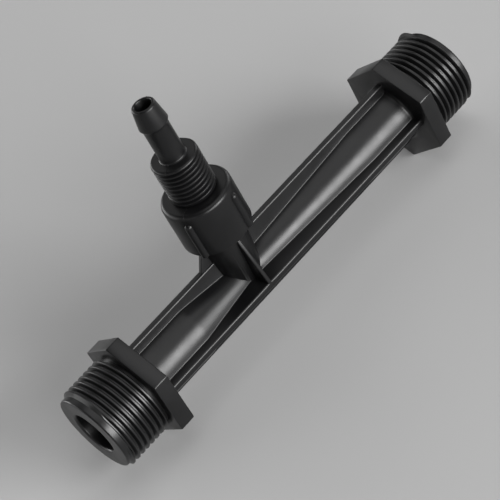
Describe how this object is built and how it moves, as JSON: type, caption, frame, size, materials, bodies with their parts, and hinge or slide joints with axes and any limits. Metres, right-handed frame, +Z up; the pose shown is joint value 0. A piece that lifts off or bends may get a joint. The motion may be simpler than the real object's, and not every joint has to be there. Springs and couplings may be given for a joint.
{
  "type": "venturi fertilizer injector",
  "caption": "Inline venturi injector: threaded hexagon ends, a finned waisted tube, and a ribbed screw cap on a side boss that carries a threaded suction nozzle with a hose barb.",
  "frame": {"origin": "on the flow axis, in the outer face of the inlet hexagon, where the inlet thread ends", "axes": "+X along the flow from inlet to outlet, +Z up the suction port"},
  "size_m": [0.15, 0.0302, 0.083],
  "materials": {
    "body_plastic": "moulded satin",
    "cap_plastic": "moulded satin",
    "seal_rubber": "moulded rubber",
    "ball_plastic": "polished",
    "spring_steel": "drawn wire"
  },
  "bodies": {
    "body": {"body": "body_plastic", "check_spring": "spring_steel"},
    "seal": {"cap_seal": "seal_rubber"},
    "cap": {"suction_cap": "cap_plastic"},
    "ball": {"check_ball": "ball_plastic"}
  },
  "joints": [
    {"name": "ball_slide", "type": "slide", "parent": "body", "child": "ball", "axis": [0, 0, -1], "range_m": [0, 0.003], "stiffness_N_per_m": 20, "springref_m": -0.002, "deforming": ["check_spring"]},
    {"name": "cap_lift", "type": "slide", "parent": "body", "child": "seal", "axis": [0, 0, 1], "range_m": [0, 0.0075]},
    {"name": "cap_turn", "type": "hinge", "parent": "seal", "child": "cap", "pos_m": [0.0461, 0, 0.0185], "axis": [0, 0, 1], "range_deg": [0, 1800]}
  ],
  "couplings": [
    {"joint": "cap_lift", "follows": "cap_turn", "m_per_rad": 0.0002387}
  ]
}
